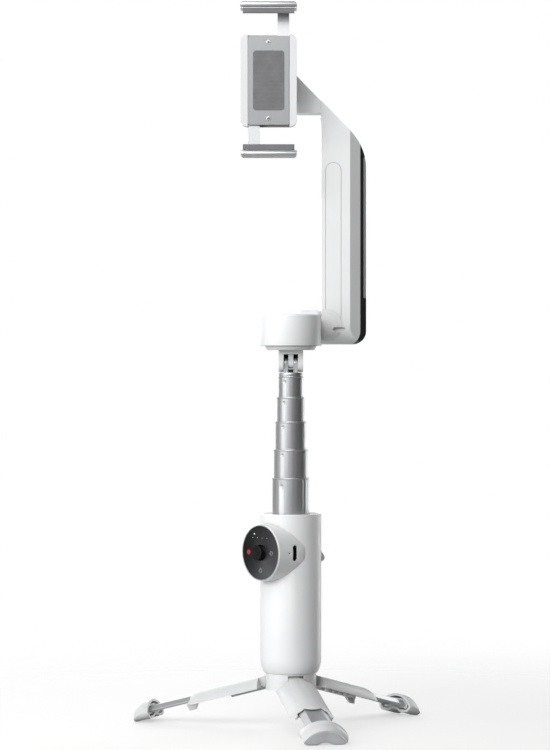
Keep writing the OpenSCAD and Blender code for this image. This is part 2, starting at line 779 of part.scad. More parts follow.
// The band on the arm's outer side, its section narrowing outward
module band_solid() intersection() {
    slab_y(arm_y.x, arm_y.y) arm_outline(0);
    slab_x(inlay_x, arm_x.y + 5) {
        translate([25.5, fold_z]) square([13, arm_top + 16 - fold_z]);
        translate([fold_y, fold_z]) circle(r = 9.5);
    }
    linear_extrude(2 * head_z) polygon([
        [inlay_x, 25.5], [trim_x, 26.7], [arm_x.y, 28.4], [arm_x.y, 33.6], [trim_x, 35.3],
        [inlay_x, 38.5]]);
}

module trim_space() translate([trim_x, 0, trim_z.x]) cube([5, 60, trim_z.y - trim_z.x]);

// Black band, which goes on round the arm's lower corner
module arm_inlay() color("black") {
    difference() {
        band_solid();
        trim_space();
    }
    intersection() {
        arm_outside();
        slab_y(arm_y.x, arm_y.y) corner_outline();
    }
}

module arm_trim() color("silver") intersection() {
    band_solid();
    trim_space();
}

module battery_cell() color("mediumseagreen") translate([arm_split, fold_y, cell_z])
    soft_disc(cell_r, cell_len, 0.8);

// Round release plate of the fold joint, in two steps, wrapped over the arm's rounded lower end
module fold_latch() color("gainsboro") difference() {
    for (step = latch_steps) intersection() {
        translate([arm_x.x + latch_in, 0, fold_z + 1]) along_y(0, fold_y, latch_r - step.x);
        slab_x(arm_x.x + 0.3, arm_x.y) latch_section(step.y);
    }
    nick();
}

// A skin over the arm's lower front, of thickness t
module latch_section(t) {
    out = fold_y - arm_y.x;
    difference() {
        union() {
            translate([arm_y.x - t, fold_z]) square([t + out, 2 * latch_r]);
            translate([fold_y, fold_z]) circle(r = out + t);
        }
        translate([fold_y, fold_z]) circle(r = out + let_in);
        translate([arm_y.x - let_in, fold_z]) square([2 * out, 3 * latch_r]);
        translate([fold_y, fold_z - 2 * out]) square([2 * out, 4 * out]);
    }
}

// ---- Roll motor ----

module roll_housing() color("whitesmoke") translate([head_x, 0, head_z]) difference() {
    along_y(arm_y.y + 0.02, roll_back, link_round - 0.3);
    translate([0, arm_y.y - 1, 0]) along_y(0, 1.8, 12);
}

module roll_stator() color("peru") translate([head_x, 0, head_z]) difference() {
    along_y(link_y + 3, arm_y.y - 3, 14.3);
    along_y(0, 50, 5);
    for (a = [0:40:320]) rotate([0, a, 0]) translate([8, 0, -1]) cube([9, 50, 2]);
}

// Rotor disc with its shaft, and the side plate that carries the tilt motor
module roll_arm() color("whitesmoke") difference() {
    union() {
        translate([head_x, 0, head_z]) {
            along_y(rotor_y.x, rotor_y.y, 16);
            along_y(rotor_y.y - 1, arm_y.y - 2, 3);
        }
        translate([side_x.x, tilt_y, head_z - 11]) cube([side_x.y - side_x.x, rotor_y.y - tilt_y, 22]);
        translate([0, tilt_y, head_z]) along_x(side_x.x, side_x.y, 11);
        translate([0, tilt_y, head_z]) along_x(tilt_x.x + 2.2, side_x.x + 1, 3);
    }
    translate([side_x.y - 0.8, tilt_y, head_z]) along_x(0, 2, 8);
}

// ---- Tilt motor ----

module tilt_stator() color("peru") translate([0, tilt_y, head_z]) difference() {
    along_x(tilt_x.x + 5, side_x.x - 2, 9.6);
    along_x(-40, 10, 3 + let_in);
    for (a = [0:40:320]) rotate([a, 0, 0]) translate([-40, 5.5, -0.8]) cube([50, 6, 1.6]);
}

module tilt_housing() color("whitesmoke") difference() {
    union() {
        translate([0, tilt_y, head_z]) along_x(tilt_x.x, tilt_x.y, tilt_r);
        translate([tilt_x.x + 2, face_y + 3.4, head_z - 8]) cube([14, 12, 16]);
    }
    translate([0, tilt_y, head_z]) {
        along_x(tilt_x.x + 3.6, tilt_x.y + 1, tilt_r - 1.5);
        along_x(tilt_x.x + 1.8, tilt_x.y + 1, 3 + run);
    }
}

// Magnetic face that the clamp snaps on to
module tilt_plate() color("lightgray") translate([head_x, 0, head_z])
    slab_y(face_y, face_y + 3.4) round_rect(24, 24, 3);

// ---- Phone clamp ----

module in_clamp() translate([head_x, clamp_back, head_z]) children();

module clamp_body() color("whitesmoke") in_clamp() {
    difference() {
        slab_y(-clamp_t, 0) round_rect(jaw_w, 2 * clamp_half, 4);
        // the channel where the two racks slide past the gear
        translate([-12.2, -clamp_t - 1, -clamp_half - 1])
            cube([24.4, clamp_t + 1 - channel_floor, 2 * clamp_half + 2]);
    }
    along_y(rack_front - 0.1, -channel_floor + 0.5, gear_post_r);
}

module clamp_cover() color("silver") in_clamp()
    translate([0, -clamp_t, 0]) slab_y(0, 1.1) round_rect(24.2, 2 * clamp_half - 2, 1);

// One tooth of the rack and one of the gear: distance from the pitch line in modules, against
// half its width in tooth pitches
rack_tooth = [[1.25, -0.31], [-1, -0.124], [-1, 0.124], [1.25, 0.31]];
gear_tooth = [[-1.25, -0.29], [0, -0.2], [1, -0.1], [1, 0.1], [0, 0.2], [-1.25, 0.29]];

module rack(first, last) {
    pitch = gear_module * PI;
    polygon(concat(
        [for (k = [first:last - 1]) each [for (p = rack_tooth)
            [gear_module * p.x, pitch * (k + 0.5 + p.y)]]],
        [[3.5, pitch * last], [3.5, pitch * first]]));
}

module jaw(side) {
    face = phone_w / 2;
    // side +1 is the upper jaw, -1 the lower
    in_clamp() mirror([0, 0, side > 0 ? 0 : 1]) mirror([side > 0 ? 0 : 1, 0, 0]) {
        // rail that slides in the body and carries the rack
        translate([5.2, rack_front, 0]) cube([6.8, rack_t, face + pad_t + 1]);
        translate([gear_pitch + 0.05, 0, 0]) slab_y(rack_front, rack_front + rack_t)
            rack(-4, 8);
        // cross bar behind and over the phone
        difference() {
            slab_x(-jaw_w / 2, jaw_w / 2) jaw_profile(face);
            for (s = [-1, 1]) translate([s * (jaw_w / 2 - 2), 0, face + jaw_h - 2])
                corner_cut(s);
        }
    }
}

// Section of a jaw's bar: Y from the clamp's back face, Z from the centre of the phone
module jaw_profile(face) {
    front = jaw_front - clamp_back;
    translate([front + 1.4, face + pad_t]) square([-front - 1.4, jaw_h - pad_t - 1.4]);
    translate([front + 1.4, face + pad_t]) square([-front - 2.8, jaw_h - pad_t]);
    translate([front + 1.7, face + jaw_h - 1.7]) circle(r = 1.7);
    translate([-1.4, face + jaw_h - 1.4]) circle(r = 1.4);
}

module corner_cut(s) difference() {
    translate([s > 0 ? 0 : -3, -40, 0]) cube([3, 60, 3]);
    along_y(-41, 41, 2);
}

module jaw_pad(side) in_clamp() mirror([0, 0, side > 0 ? 0 : 1]) {
    face = phone_w / 2;
    front = jaw_front - clamp_back;
    slab_x(1.4 - jaw_w / 2, jaw_w / 2 - 1.4) {
        translate([front + 1.5, face]) square([-front - 1.5 - 6.2, pad_t]);
        translate([front + 0.5, face - 1]) square([1.6, pad_t + 1]);
    }
}

module upper_jaw() color("silver") jaw(1);
module lower_jaw() color("silver") jaw(-1);
module upper_pad() color("dimgray") jaw_pad(1);
module lower_pad() color("dimgray") jaw_pad(-1);

module jaw_gear() color("gold") in_clamp() slab_y(rack_front, rack_front + rack_t) difference() {
    polygon([for (k = [0:gear_teeth - 1]) for (p = gear_tooth)
        (gear_pitch + gear_module * p.x) *
        [cos((k + p.y) * 360 / gear_teeth), sin((k + p.y) * 360 / gear_teeth)]]);
    circle(r = gear_post_r + run);
}

// ---- Nodes ----

for (i = [1:3]) {
    leg_shell(i);
    leg_rail(i);
    foot(i);
    foot_pad(i);
}
for (i = [1:tube_count]) {
    rod_tube(i);
}
tripod_hub();
tripod_socket();
leg_pins();
handle_shell();
handle_cap();
rod_sleeve();
control_pod();
pod_rim();
usb_port();
status_lamp();
circuit_board();
control_disc();
joystick();
joystick_yoke();
zoom_wheel();
trigger();
rod_knuckle();
head_fork();
hinge_pin();
pan_base();
pan_stator();
pan_housing();
fold_barrel();
arm_front();
arm_back();
arm_cover();
arm_inlay();
arm_trim();
battery_cell();
fold_latch();
roll_housing();
roll_stator();
roll_arm();
tilt_stator();
tilt_housing();
tilt_plate();
clamp_body();
clamp_cover();
upper_jaw();
upper_pad();
lower_jaw();
lower_pad();
jaw_gear();
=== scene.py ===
"""Looks of the hand-held gimbal stabiliser: materials, fine pieces, floor, light and camera."""
import json
import math

import bmesh
import bpy
from mathutils import Matrix, Vector


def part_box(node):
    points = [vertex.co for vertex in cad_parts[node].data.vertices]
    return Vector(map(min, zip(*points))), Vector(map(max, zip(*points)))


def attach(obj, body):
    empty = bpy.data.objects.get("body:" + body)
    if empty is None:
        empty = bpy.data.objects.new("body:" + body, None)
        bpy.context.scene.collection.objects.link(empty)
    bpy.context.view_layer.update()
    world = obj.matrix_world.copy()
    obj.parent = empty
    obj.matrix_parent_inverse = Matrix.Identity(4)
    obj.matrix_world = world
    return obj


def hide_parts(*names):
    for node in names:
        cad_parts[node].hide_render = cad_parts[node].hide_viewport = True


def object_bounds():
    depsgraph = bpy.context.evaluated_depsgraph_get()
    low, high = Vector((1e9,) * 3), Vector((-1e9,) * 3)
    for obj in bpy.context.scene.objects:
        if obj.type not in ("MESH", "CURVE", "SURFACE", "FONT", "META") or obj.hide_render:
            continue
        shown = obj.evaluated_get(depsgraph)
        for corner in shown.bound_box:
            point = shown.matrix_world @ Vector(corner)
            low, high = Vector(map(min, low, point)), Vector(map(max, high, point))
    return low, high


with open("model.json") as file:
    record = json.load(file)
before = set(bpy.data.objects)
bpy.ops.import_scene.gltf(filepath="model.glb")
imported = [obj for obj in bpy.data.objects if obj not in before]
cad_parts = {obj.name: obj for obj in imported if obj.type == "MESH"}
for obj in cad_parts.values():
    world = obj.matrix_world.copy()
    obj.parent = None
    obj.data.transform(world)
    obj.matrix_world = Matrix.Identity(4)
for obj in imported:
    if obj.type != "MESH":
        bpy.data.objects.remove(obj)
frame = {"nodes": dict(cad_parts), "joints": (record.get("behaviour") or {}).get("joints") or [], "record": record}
cad_lo, cad_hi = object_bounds()
NODES = frame["nodes"]
MM = 0.001

# ---- Places on the object, in metres, worked out from the frame ----

JOINTS = {j["name"]: j for j in frame["joints"]}
POD_OUT = -Vector(JOINTS["disc_press"]["axis"])
POD_RIGHT = Vector((-POD_OUT.y, POD_OUT.x, 0))
POD_Z = JOINTS["stick_side"]["pos_m"][2]


def reach(node, direction):
    """How far a node reaches along a direction."""
    return max(v.co.dot(direction) for v in NODES[node].data.vertices)


DISC_FACE = reach("control_disc", POD_OUT)
FLOOR_Z = cad_lo.z


def pod_point(right, up, out):
    """A point by the control pod: millimetres right of, above and in front of its face's centre."""
    return POD_OUT * (DISC_FACE + out * MM) + POD_RIGHT * right * MM + Vector((0, 0, POD_Z + up * MM))


# Turns +Z outward along the pod's axis and +Y up
POD_TURN = Matrix((POD_RIGHT, (0, 0, 1), POD_OUT)).transposed().to_4x4()


# ---- Node helpers ----

def node(tree, kind, inputs=None, **settings):
    """Adds a shader node; an input is a value or another node's output."""
    made = tree.nodes.new(kind)
    for key, value in settings.items():
        setattr(made, key, value)
    for key, value in (inputs or {}).items():
        if isinstance(value, bpy.types.NodeSocket):
            tree.links.new(value, made.inputs[key])
        else:
            made.inputs[key].default_value = value
    return made


def start(name, colour, rough, **inputs):
    """A new material: its node tree, its shader and its object coordinates."""
    mat = bpy.data.materials.new(name)
    mat.use_nodes = True
    shader = mat.node_tree.nodes["Principled BSDF"]
    shader.inputs["Base Color"].default_value = (*colour, 1)
    shader.inputs["Roughness"].default_value = rough
    for key, value in inputs.items():
        shader.inputs[key.replace("_", " ")].default_value = value
    place = node(mat.node_tree, "ShaderNodeTexCoord").outputs["Object"]
    return mat, mat.node_tree, shader, place


def noise(tree, place, scale, detail=3.0, stretch=(1, 1, 1)):
    """Noise of so many lumps per metre, stretched along an axis where its factor is small."""
    mapped = node(tree, "ShaderNodeMapping", {"Vector": place, "Scale": [scale * s for s in stretch]})
    return node(tree, "ShaderNodeTexNoise",
                {"Vector": mapped.outputs[0], "Scale": 1.0, "Detail": detail}).outputs["Fac"]


def spread(tree, fac, low, high, frm=(0.3, 0.7), curve="LINEAR"):
    """Maps a factor on to a range of values."""
    return node(tree, "ShaderNodeMapRange", {0: fac, 1: frm[0], 2: frm[1], 3: low, 4: high},
                interpolation_type=curve).outputs[0]


def tint(tree, fac, low, high):
    """Blends two colours by a factor."""
    ramp = node(tree, "ShaderNodeValToRGB", {"Fac": fac})
    ramp.color_ramp.elements[0].position = 0.3
    ramp.color_ramp.elements[1].position = 0.7
    ramp.color_ramp.elements[0].color = (*low, 1)
    ramp.color_ramp.elements[1].color = (*high, 1)
    return ramp.outputs["Color"]


def bump(tree, shader, height, depth, strength=1.0, under=None):
    """Raises the surface by a height from 0 to 1, times a depth in metres."""
    inputs = {"Height": height, "Distance": depth, "Strength": strength}
    if under is not None:
        inputs["Normal"] = under
    made = node(tree, "ShaderNodeBump", inputs)
    tree.links.new(made.outputs[0], shader.inputs["Normal"])
    return made.outputs[0]


def shade(colour, factor):
    """A colour made darker or paler by a factor."""
    return tuple(min(1.0, c * factor) for c in colour)


# ---- Materials ----

def moulded(name, colour, rough=0.42, grain=2600, depth=0.000012, shine=0.5):
    """Moulded plastic: spark-eroded grain, uneven sheen, and painted shade that darkens its crevices."""
    crevice_width = 6 * MM
    mat, tree, shader, place = start(name, colour, rough, Specular_IOR_Level=shine)
    cloud = noise(tree, place, 45)
    tone = tint(tree, cloud, shade(colour, 0.975), shade(colour, 1.01))
    # Painted shade: where ambient occlusion finds a crevice, the base colour darkens towards half
    crevice = node(tree, "ShaderNodeAmbientOcclusion", {"Distance": crevice_width}, samples=8)
    crevice_shade = spread(tree, crevice.outputs["AO"], 0.2, 1.0, (0.1, 0.8))
    mixed = node(tree, "ShaderNodeMix", {"Factor": crevice_shade, 6: (*shade(colour, 0.5), 1), 7: tone},
                 data_type="RGBA")
    tree.links.new(mixed.outputs[2], shader.inputs["Base Color"])
    tree.links.new(spread(tree, noise(tree, place, 160, 4.0), rough - 0.05, rough + 0.06),
                   shader.inputs["Roughness"])
    bump(tree, shader, noise(tree, place, grain, 2.0), depth, 0.5)
    return mat


def drawn_metal(name, colour, rough, along, lines=5200, depth=0.000003):
    """Metal with fine polishing lines that run along one axis."""
    mat, tree, shader, place = start(name, colour, rough, Metallic=1.0)
    line_stretch = 0.012
    stretch = [1, 1, 1]
    stretch["XYZ".index(along)] = line_stretch
    streak = noise(tree, place, lines, 3.0, stretch)
    tree.links.new(tint(tree, noise(tree, place, 60), shade(colour, 0.975), shade(colour, 1.015)),
                   shader.inputs["Base Color"])
    tree.links.new(spread(tree, streak, rough - 0.025, rough + 0.035), shader.inputs["Roughness"])
    bump(tree, shader, streak, depth, 0.5)
    return mat


def rubber(name, colour, rough=0.8, across=None, pitch=0.0016):
    """Soft rubber with a fine pimpled skin and rubbed patches, and maybe a tread across a direction."""
    mat, tree, shader, place = start(name, colour, rough, Sheen_Weight=0.25, Sheen_Roughness=0.5)
    tree.links.new(tint(tree, noise(tree, place, 130, 4.0), shade(colour, 0.88), shade(colour, 1.12)),
                   shader.inputs["Base Color"])
    pimple_depth, rib_depth = 0.03 * MM, 0.04 * MM
    pimple = node(tree, "ShaderNodeTexVoronoi", {"Vector": place, "Scale": 2400.0})
    skin = bump(tree, shader, pimple.outputs["Distance"], pimple_depth, 0.6)
    if across is not None:
        along = node(tree, "ShaderNodeVectorMath", {0: place, 1: across}, operation="DOT_PRODUCT")
        wave = node(tree, "ShaderNodeMath", {0: along.outputs["Value"], 1: 2 * math.pi / pitch},
                    operation="MULTIPLY").outputs[0]
        rib = node(tree, "ShaderNodeMath", {0: wave}, operation="SINE").outputs[0]
        bump(tree, shader, spread(tree, rib, 0, 1, (-0.9, 0.9)), rib_depth, 0.6, skin)
    return mat


def printed(name, colour, rough=0.45):
    """A thin print or a tinted insert, a little uneven in tone and sheen."""
    mat, tree, shader, place = start(name, colour, rough)
    mottle = noise(tree, place, 1500, 3.0)
    tree.links.new(tint(tree, mottle, shade(colour, 0.9), shade(colour, 1.05)), shader.inputs["Base Color"])
    tree.links.new(spread(tree, mottle, rough - 0.05, rough + 0.08), shader.inputs["Roughness"])
    return mat


def gloss_black(name):
    """Piano-black plastic under a clear coat, with faint hairlines."""
    colour = (0.012, 0.012, 0.013)
    mat, tree, shader, place = start(name, colour, 0.16, Coat_Weight=0.6, Coat_Roughness=0.06)
    hair = noise(tree, place, 900, 5.0, (1, 1, 0.05))
    tree.links.new(spread(tree, hair, 0.12, 0.24), shader.inputs["Roughness"])
    tone = tint(tree, noise(tree, place, 70), colour, shade(colour, 1.8))
    tree.links.new(tone, shader.inputs["Base Color"])
    return mat


def spun_black(name):
    """Black disc with fine turned lines about the pod's axis, and a painted reflection that makes it paler towards
    its lower right.
    """
    colour = (0.022, 0.022, 0.024)
    line_pitch = 0.28 * MM
    line_depth = 0.008 * MM
    dark_end, pale_end = -14 * MM, 16 * MM
    darkest, palest = 0.3, 3.2
    mat, tree, shader, place = start(name, colour, 0.34, Metallic=0.55, Anisotropic=0.85)
    centre = pod_point(0, 0, 0)
    arm = node(tree, "ShaderNodeVectorMath", {0: place, 1: centre}, operation="SUBTRACT").outputs[0]
    around = node(tree, "ShaderNodeVectorMath", {0: arm, 1: POD_OUT}, operation="CROSS_PRODUCT").outputs[0]
    distance = node(tree, "ShaderNodeVectorMath", {0: around}, operation="LENGTH").outputs["Value"]
    turn = node(tree, "ShaderNodeVectorMath", {0: around}, operation="NORMALIZE").outputs[0]
    tree.links.new(turn, shader.inputs["Tangent"])
    wave = node(tree, "ShaderNodeMath", {0: distance, 1: 2 * math.pi / line_pitch}, operation="MULTIPLY")
    line = node(tree, "ShaderNodeMath", {0: wave.outputs[0]}, operation="SINE").outputs[0]
    uneven = node(tree, "ShaderNodeTexNoise", {"Vector": place, "Scale": 500.0})
    mixed = node(tree, "ShaderNodeMath", {0: line, 1: uneven.outputs["Fac"]}, operation="MULTIPLY").outputs[0]
    lines = tint(tree, spread(tree, mixed, 0, 1, (-0.5, 0.5)), shade(colour, 0.7), shade(colour, 1.7))
    # Painted reflection: the base colour grows paler from the disc's upper left to its lower right
    slope = node(tree, "ShaderNodeVectorMath", {0: arm, 1: POD_RIGHT - Vector((0, 0, 0.6))},
                 operation="DOT_PRODUCT").outputs["Value"]
    along = spread(tree, slope, 0, 1, (dark_end, pale_end), "SMOOTHSTEP")
    sheen = node(tree, "ShaderNodeMix", {"Factor": along, 6: (darkest, darkest, darkest, 1),
                                         7: (palest, palest, palest, 1)}, data_type="RGBA")
    lit = node(tree, "ShaderNodeMix", {"Factor": 1.0, 6: lines, 7: sheen.outputs[2]},
               data_type="RGBA", blend_type="MULTIPLY")
    tree.links.new(lit.outputs[2], shader.inputs["Base Color"])
    bump(tree, shader, mixed, line_depth, 0.7)
    return mat


def lamp_glass(name):
    """Light guides: the upper one glows, the others are unlit."""
    between_rows = POD_Z + 9.7 * MM
    glow_strength = 0.8
    mat, tree, shader, place = start(name, (0.3, 0.31, 0.32), 0.3)
    height = node(tree, "ShaderNodeSeparateXYZ", {0: place}).outputs["Z"]
    lit = node(tree, "ShaderNodeMath", {0: height, 1: between_rows}, operation="GREATER_THAN").outputs[0]
    glow = spread(tree, lit, 0.0, glow_strength, (0, 1))
    shader.inputs["Emission Color"].default_value = (0.92, 0.97, 1, 1)
    tree.links.new(glow, shader.inputs["Emission Strength"])
    return mat


def copper_wire(name):
    """Enamelled magnet wire laid side by side."""
    colour = (0.62, 0.27, 0.12)
    mat, tree, shader, place = start(name, colour, 0.3, Metallic=0.9, Coat_Weight=0.4)
    wave = node(tree, "ShaderNodeTexWave", {"Vector": place, "Scale": 700.0, "Distortion": 0.6},
                wave_type="BANDS", bands_direction="DIAGONAL")
    tree.links.new(tint(tree, wave.outputs["Fac"], shade(colour, 0.45), shade(colour, 1.25)),
                   shader.inputs["Base Color"])
    bump(tree, shader, wave.outputs["Fac"], 0.0001)
    return mat


def solder_mask(name):
    """Circuit board: green mask over paler copper tracks."""
    colour = (0.012, 0.12, 0.05)
    mat, tree, shader, place = start(name, colour, 0.3, Coat_Weight=0.3)
    tracks = node(tree, "ShaderNodeTexBrick", {"Vector": place, "Scale": 260.0, "Mortar Size": 0.03,
                                               "Color1": (*colour, 1), "Color2": (*shade(colour, 1.3), 1),
                                               "Mortar": (0.08, 0.3, 0.12, 1)})
    tree.links.new(tracks.outputs["Color"], shader.inputs["Base Color"])
    bump(tree, shader, tracks.outputs["Fac"], 0.00003)
    return mat


def shrink_wrap(name):
    """Thin plastic wrap with soft creases."""
    colour = (0.05, 0.30, 0.22)
    mat, tree, shader, place = start(name, colour, 0.22, Coat_Weight=0.5)
    crease = noise(tree, place, 300, 5.0, (1, 1, 0.2))
    tree.links.new(tint(tree, crease, shade(colour, 0.8), shade(colour, 1.2)), shader.inputs["Base Color"])
    bump(tree, shader, crease, 0.0001, 0.5)
    return mat


# Colours of the white plastic and of the bare steel
SHELL = (0.80, 0.805, 0.81)
STEEL = (0.66, 0.665, 0.675)
MATERIALS = {
    "white_shell": moulded("white_shell", SHELL),
    "polished_steel": drawn_metal("polished_steel", shade(STEEL, 0.8), 0.48, "Z"),
    "satin_steel": drawn_metal("satin_steel", shade(STEEL, 0.93), 0.46, "X"),
    "grey_rubber": rubber("grey_rubber", (0.16, 0.16, 0.165)),
    "black_panel": gloss_black("black_panel"),
    "grey_plastic": moulded("grey_plastic", (0.16, 0.16, 0.165), 0.5, 2000),
    "winding": copper_wire("winding"),
    "cell_wrap": shrink_wrap("cell_wrap"),
    "board": solder_mask("board"),
    "lamp": lamp_glass("lamp"),
    "gear_brass": drawn_metal("gear_brass", (0.72, 0.52, 0.22), 0.28, "Y"),
    "magnet_plate": drawn_metal("magnet_plate", (0.6, 0.6, 0.62), 0.35, "Z"),
}
# Nodes whose finish isn't just their slot's
SPECIAL = {
    # Painted shade: the clamp's body takes the white shell's plastic darkened, so that it doesn't wash out under
    # the lights
    "clamp_body": moulded("clamp_shaded_plastic", shade(SHELL, 0.84)),
    "clamp_cover": drawn_metal("cover_steel", shade(STEEL, 0.5), 0.5, "Z"),
    "usb_port": drawn_metal("port_steel", shade(STEEL, 0.12), 0.4, "Z"),
    "arm_trim": drawn_metal("trim_silver", (0.86, 0.865, 0.87), 0.55, "Z"),
    "control_disc": spun_black("spun_disc"),
    "joystick": moulded("stick_black", (0.004, 0.004, 0.0045), 0.55, 2000, shine=0.2),
    "joystick_yoke": moulded("yoke_black", (0.004, 0.004, 0.0045), 0.6, 2000, shine=0.2),
    "handle_cap": moulded("pale_cap", shade(SHELL, 0.8), 0.5),
    "fold_latch": moulded("latch_grey", shade(SHELL, 0.93), 0.5),
}
LEG_PLASTIC = moulded("leg_plastic", shade(SHELL, 0.8))
for i in (1, 2, 3):
    SPECIAL[f"leg_shell_{i}"] = LEG_PLASTIC
    SPECIAL[f"foot_{i}"] = LEG_PLASTIC
    SPECIAL[f"foot_pad_{i}"] = rubber(f"sole_rubber_{i}", (0.52, 0.52, 0.53),
                                      across=Vector(JOINTS[f"leg_{i}_fold"]["axis"]))

# ---- CAD nodes: finish and softened edges ----

SLOTS = {s["node"]: s["material_slot"] for s in frame["record"]["subparts"]}
WELD_WITHIN = 0.002 * MM
# Degrees between faces that count as one flat face
FLAT_WITHIN = 0.6
# Widths of the softened edges in millimetres, where they aren't PLAIN_EDGE
PLAIN_EDGE = 0.18
EDGE = {"handle_shell": 0.3, "arm_front": 0.7, "arm_back": 0.7, "pan_housing": 0.3, "control_pod": 0.25}
EDGE.update({f"rod_tube_{i}": 0.06 for i in range(1, 6)})


def paint(obj, mat):
    """Gives an object one material."""
    obj.data.materials.clear()
    obj.data.materials.append(mat)


def soften(obj, width, segments=3, angle=28):
    """Rounds the edges that are sharper than an angle."""
    weld = obj.modifiers.new("weld", "WELD")
    weld.merge_threshold = WELD_WITHIN
    flat = obj.modifiers.new("flat", "DECIMATE")
    flat.decimate_type = "DISSOLVE"
    flat.angle_limit = math.radians(FLAT_WITHIN)
    edge = obj.modifiers.new("edge", "BEVEL")
    edge.width = width
    edge.segments = segments
    edge.limit_method = "ANGLE"
    edge.angle_limit = math.radians(angle)
    edge.harden_normals = True


for name, obj in NODES.items():
    paint(obj, SPECIAL.get(name) or MATERIALS[SLOTS[name]])
    # the disc's flat face keeps its own shading
    if name != "control_disc":
        soften(obj, EDGE.get(name, PLAIN_EDGE) * MM)

# ---- Fine pieces ----

RED = printed("record_red", (0.42, 0.012, 0.03))
WHITE_PRINT = printed("white_print", (0.38, 0.39, 0.4))
SCREW = drawn_metal("screw_steel", shade(STEEL, 0.8), 0.28, "X")
# Painted shade: flat black for hollows in shadow, under the hinge and in the screws' crosses
PAINTED_SHADE_BLACK = printed("painted_shade_black", (0.01, 0.01, 0.01), 0.7)
# From the disc's face: X to the right, Y up, Z outward
PLACED = Matrix.Translation(pod_point(0, 0, 0)) @ POD_TURN


def prism(form, outline, low, high, turn):
    """Adds a straight-sided solid: an outline in millimetres, from one height to another."""
    low_ring, high_ring = ([form.verts.new(turn @ (Vector((x, y, z)) * MM)) for x, y in outline]
                           for z in (low, high))
    form.faces.new(low_ring[::-1])
    form.faces.new(high_ring)
    for here, (a, b) in enumerate(zip(low_ring, high_ring)):
        form.faces.new((low_ring[here - 1], a, b, high_ring[here - 1]))


def turned(form, profile, turn, sides=48):
    """Adds a solid of revolution about +Z: (radius, height) pairs in millimetres, both ends on the axis."""
    rings = []
    for radius, height in profile:
        if radius == 0:
            rings.append([form.verts.new(turn @ Vector((0, 0, height * MM)))] * sides)
            continue
        rings.append([form.verts.new(turn @ (Vector((radius * math.cos(2 * math.pi * k / sides),
                                                     radius * math.sin(2 * math.pi * k / sides),
                                                     height)) * MM)) for k in range(sides)])
    for inner, outer in zip(rings, rings[1:]):
        for k in range(sides):
            corners = [inner[k - 1], inner[k], outer[k], outer[k - 1]]
            form.faces.new(sorted(set(corners), key=corners.index))


def arc(radius, first, last, steps):
    """Points on a circle, in millimetres, between two angles in degrees."""
    return [(radius * math.cos(math.radians(first + (last - first) * k / steps)),
             radius * math.sin(math.radians(first + (last - first) * k / steps))) for k in range(steps + 1)]


def band(inner, outer, first, last, steps=18):
    """Outline of a part of a ring."""
    return arc(outer, first, last, steps) + arc(inner, last, first, steps)


def box_outline(x0, y0, x1, y1):
    """Outline of a rectangle between two corners."""
    return [(x0, y0), (x1, y0), (x1, y1), (x0, y1)]


def piece(name, form, mat, body, edge=0.04):
    """Makes an object of the built mesh, which rides on a body."""
    bmesh.ops.recalc_face_normals(form, faces=form.faces)
    mesh = bpy.data.meshes.new(name)
    form.to_mesh(mesh)
    form.free()
    obj = bpy.data.objects.new(name, mesh)
    bpy.context.scene.collection.objects.link(obj)
    mesh.materials.append(mat)
    if edge:
        bevel = obj.modifiers.new("edge", "BEVEL")
        bevel.width = edge * MM
        bevel.segments = 2
        bevel.limit_method = "ANGLE"
    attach(obj, body)
    return obj


def disc_marks():
    """The control disc's record dot and its two generic symbols."""
    sunk, proud = -0.1, 0.04
    dot_x, arrows_x, switch_y = -10.5, 9.3, -10.4
    dot = bmesh.new()
    turned(dot, [(0, sunk), (1.5, sunk), (1.5, proud), (1.2, 0.12), (0, 0.14)],
           PLACED @ Matrix.Translation((dot_x * MM, 0, 0)))
    piece("record_dot", dot, RED, "disc", 0.02)
    marks = bmesh.new()
    # two arrows that chase each other round a circle
    spot = PLACED @ Matrix.Translation((arrows_x * MM, 0, 0))
    inner, outer = 0.9, 1.14
    line = (inner + outer) / 2
    for side in (0, 180):
        spin = spot @ Matrix.Rotation(math.radians(side), 4, "Z")
        prism(marks, band(inner, outer, 25, 150), sunk, proud, spin)
        prism(marks, [(line + 0.5, 0.4), (line - 0.5, 0.4), (line, -0.35)], sunk, proud, spin)
    # an open circle with a bar, for on and off
    spot = PLACED @ Matrix.Translation((0, switch_y * MM, 0))
    prism(marks, band(1.0, 1.24, 120, 420, 30), sunk, proud, spot)
    prism(marks, box_outline(-0.13, 0.4, 0.13, 1.6), sunk, proud, spot)
    piece("disc_symbols", marks, WHITE_PRINT, "disc", 0)


def hinge_painted_shade():
    """Painted shade: a black block under the hinge's tongue, and a black sheet behind the knuckles, where the
    hinge lies in shadow.
    """
    axis_z = JOINTS["head_tip"]["pos_m"][2] / MM
    rod_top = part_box("rod_tube_5")[1][2] / MM
    shade_block_low, shade_block_high = rod_top + 2.05, axis_z - 3.4
    shade_sheet_low, shade_sheet_high = axis_z + 1.5, axis_z + 5.39
    form = bmesh.new()
    prism(form, box_outline(-1.5, -2.6, 1.5, -1.7), shade_block_low, shade_block_high, Matrix.Identity(4))
    piece("hinge_shade_under_tongue", form, PAINTED_SHADE_BLACK, "rod_5", 0.1)
    form = bmesh.new()
    prism(form, box_outline(-4.2, 3.25, 4.2, 3.42), shade_sheet_low, shade_sheet_high, Matrix.Identity(4))
    piece("hinge_shade_behind_knuckles", form, PAINTED_SHADE_BLACK, "head", 0.02)


